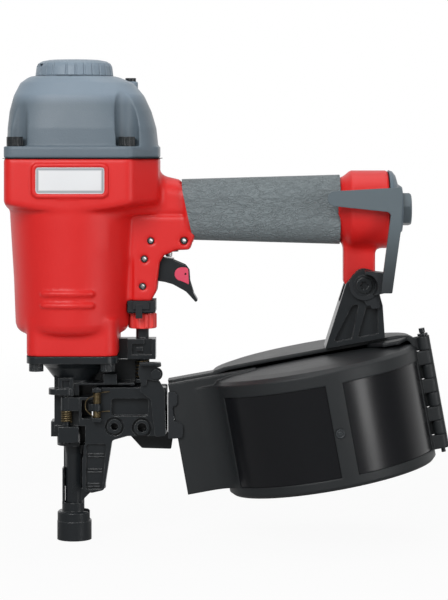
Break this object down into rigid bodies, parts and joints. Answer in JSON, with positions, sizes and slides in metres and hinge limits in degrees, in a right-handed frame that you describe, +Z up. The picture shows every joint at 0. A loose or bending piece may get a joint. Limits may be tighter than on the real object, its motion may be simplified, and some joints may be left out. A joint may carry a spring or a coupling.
{
  "type": "pneumatic_coil_nailer",
  "caption": "Air powered coil nail gun: cast housing, rubber gripped handle, trigger, sprung contact foot, hinged nose door, round tilted magazine, exhaust deflector and belt hook",
  "frame": {"origin": "bottom centre of the contact foot, on the axis that the nail is driven along", "axes": "+Z up along the driver axis towards the cylinder cap, +X along the handle towards the air inlet, +Y to the side away from the nose door"},
  "size_m": [0.3081, 0.1466, 0.3347],
  "materials": {
    "red_paint": "satin enamel over a cast surface",
    "slate_paint": "satin slate enamel",
    "grip_rubber": "fine wrinkled matte",
    "black_metal": "black satin finish",
    "magazine_black": "fine matte grain",
    "window_plastic": "smoked and glossy",
    "hook_steel": "satin dark slate",
    "bright_steel": "ground and turned",
    "spring_steel": "yellow zinc",
    "silver_plate": "satin foil, blank",
    "red_plastic": "moulded",
    "rose_insert": "moulded",
    "black_plastic": "fine matte",
    "seal_rubber": "smooth matte",
    "bright_alloy": "turned"
  },
  "bodies": {
    "root": {"main_housing": "red_paint", "nameplate": "silver_plate", "roll_pins": "black_metal", "cylinder_cap": "slate_paint", "cap_bolts": "black_metal", "gaskets": "seal_rubber", "cylinder_sleeve": "bright_alloy", "sleeve_seals": "seal_rubber", "bumper": "seal_rubber", "head_valve_spring": "bright_steel", "deflector_screw": "black_metal", "grip_sleeve": "grip_rubber", "handle_end_cap": "slate_paint", "air_inlet_plug": "hook_steel", "trigger_valve_housing": "black_plastic", "trigger_valve_spring": "bright_steel", "contact_spring": "spring_steel", "depth_yoke": "black_plastic", "contact_guide": "black_metal", "nose_casting": "black_metal", "nose_bolts": "black_metal", "feed_guide_plate": "black_metal", "feed_cylinder": "black_metal", "nose_door_pin": "black_metal", "magazine_canister": "magazine_black", "hinge_pin": "black_metal", "tray_post": "bright_alloy", "magazine_arm": "black_metal", "belt_hook": "hook_steel", "hook_bracket": "black_plastic", "arm_screw": "black_metal", "feed_spring": "bright_steel"},
    "driver": {"piston": "bright_alloy", "piston_ring": "seal_rubber", "driver_blade": "bright_steel"},
    "head_valve_body": {"head_valve": "bright_alloy"},
    "deflector_body": {"exhaust_deflector": "slate_paint"},
    "trigger_body": {"trigger": "black_metal", "trigger_inserts": "rose_insert", "trigger_lever": "bright_steel"},
    "stem_body": {"valve_stem": "bright_steel"},
    "contact_body": {"contact_foot": "black_metal", "contact_link": "black_metal", "contact_rod": "black_metal"},
    "depth_knob_body": {"depth_knob": "red_plastic", "depth_stem": "black_metal"},
    "feed_body": {"feed_piston": "bright_steel"},
    "feed_pawl_body": {"feed_pawl": "bright_steel"},
    "nose_door_body": {"nose_door": "black_metal", "door_bushings": "black_metal", "door_strap": "black_metal", "door_pins": "black_metal", "door_springs": "spring_steel"},
    "check_pawl_body": {"check_pawl": "black_metal"},
    "latch_body": {"latch_lever": "black_metal"},
    "magazine_door_body": {"magazine_door": "magazine_black", "door_windows": "window_plastic", "window_rivet": "hook_steel", "catch_plate": "black_plastic"},
    "tray_body": {"nail_tray": "black_plastic"}
  },
  "joints": [
    {"name": "piston_slide", "type": "slide", "parent": "root", "child": "driver", "axis": [0, 0, -1], "range_m": [0, 0.097]},
    {"name": "head_valve_slide", "type": "slide", "parent": "root", "child": "head_valve_body", "axis": [0, 0, 1], "range_m": [0, 0.005], "stiffness_N_per_m": 600, "springref_m": -0.02, "deforming": ["head_valve_spring"]},
    {"name": "deflector_turn", "type": "hinge", "parent": "root", "child": "deflector_body", "pos_m": [0, 0, 0.33], "axis": [0, 0, 1], "continuous": true},
    {"name": "trigger_pivot", "type": "hinge", "parent": "root", "child": "trigger_body", "pos_m": [0.0494, 0, 0.1964], "axis": [0, -1, 0], "range_deg": [0, 12], "stiffness_Nm_per_rad": 0.35, "springref_deg": -14.32},
    {"name": "valve_stem_slide", "type": "slide", "parent": "root", "child": "stem_body", "axis": [0, 0, 1], "range_m": [0, 0.0035], "deforming": ["trigger_valve_spring"]},
    {"name": "contact_slide", "type": "slide", "parent": "root", "child": "contact_body", "axis": [0, 0, 1], "range_m": [0, 0.009], "stiffness_N_per_m": 900, "springref_m": -0.03, "deforming": ["contact_spring"]},
    {"name": "depth_knob_turn", "type": "hinge", "parent": "root", "child": "depth_knob_body", "pos_m": [0.0476, 0, 0.15], "axis": [0, 0, 1], "continuous": true},
    {"name": "feed_slide", "type": "slide", "parent": "root", "child": "feed_body", "axis": [1, 0, 0], "range_m": [0, 0.01], "stiffness_N_per_m": 400, "springref_m": -0.02, "deforming": ["feed_spring"]},
    {"name": "feed_pawl_pivot", "type": "hinge", "parent": "feed_body", "child": "feed_pawl_body", "pos_m": [0.0155, 0.0114, 0.086], "axis": [0, 0, 1], "range_deg": [0, 15], "stiffness_Nm_per_rad": 0.02, "springref_deg": -17.19},
    {"name": "nose_door_hinge", "type": "hinge", "parent": "root", "child": "nose_door_body", "pos_m": [-0.0046, -0.013, 0.09], "axis": [0, 0, -1], "range_deg": [0, 110]},
    {"name": "check_pawl_pivot", "type": "hinge", "parent": "nose_door_body", "child": "check_pawl_body", "pos_m": [0.0169, -0.0205, 0.094], "axis": [0, 0, 1], "range_deg": [0, 15], "stiffness_Nm_per_rad": 0.02, "springref_deg": -17.19},
    {"name": "latch_pivot", "type": "hinge", "parent": "nose_door_body", "child": "latch_body", "pos_m": [0.0578, -0.0215, 0.1175], "axis": [0, 1, 0], "range_deg": [0, 60]},
    {"name": "magazine_door_hinge", "type": "hinge", "parent": "root", "child": "magazine_door_body", "pos_m": [0.25823, -0.008, 0.05904], "axis": [-0.1788, 0, 0.9839], "range_deg": [0, 110]},
    {"name": "tray_slide", "type": "slide", "parent": "root", "child": "tray_body", "axis": [-0.1788, 0, 0.9839], "range_m": [0, 0.026]}
  ],
  "couplings": [
    {"joint": "valve_stem_slide", "follows": "trigger_pivot", "m_per_rad": 0.01671}
  ]
}
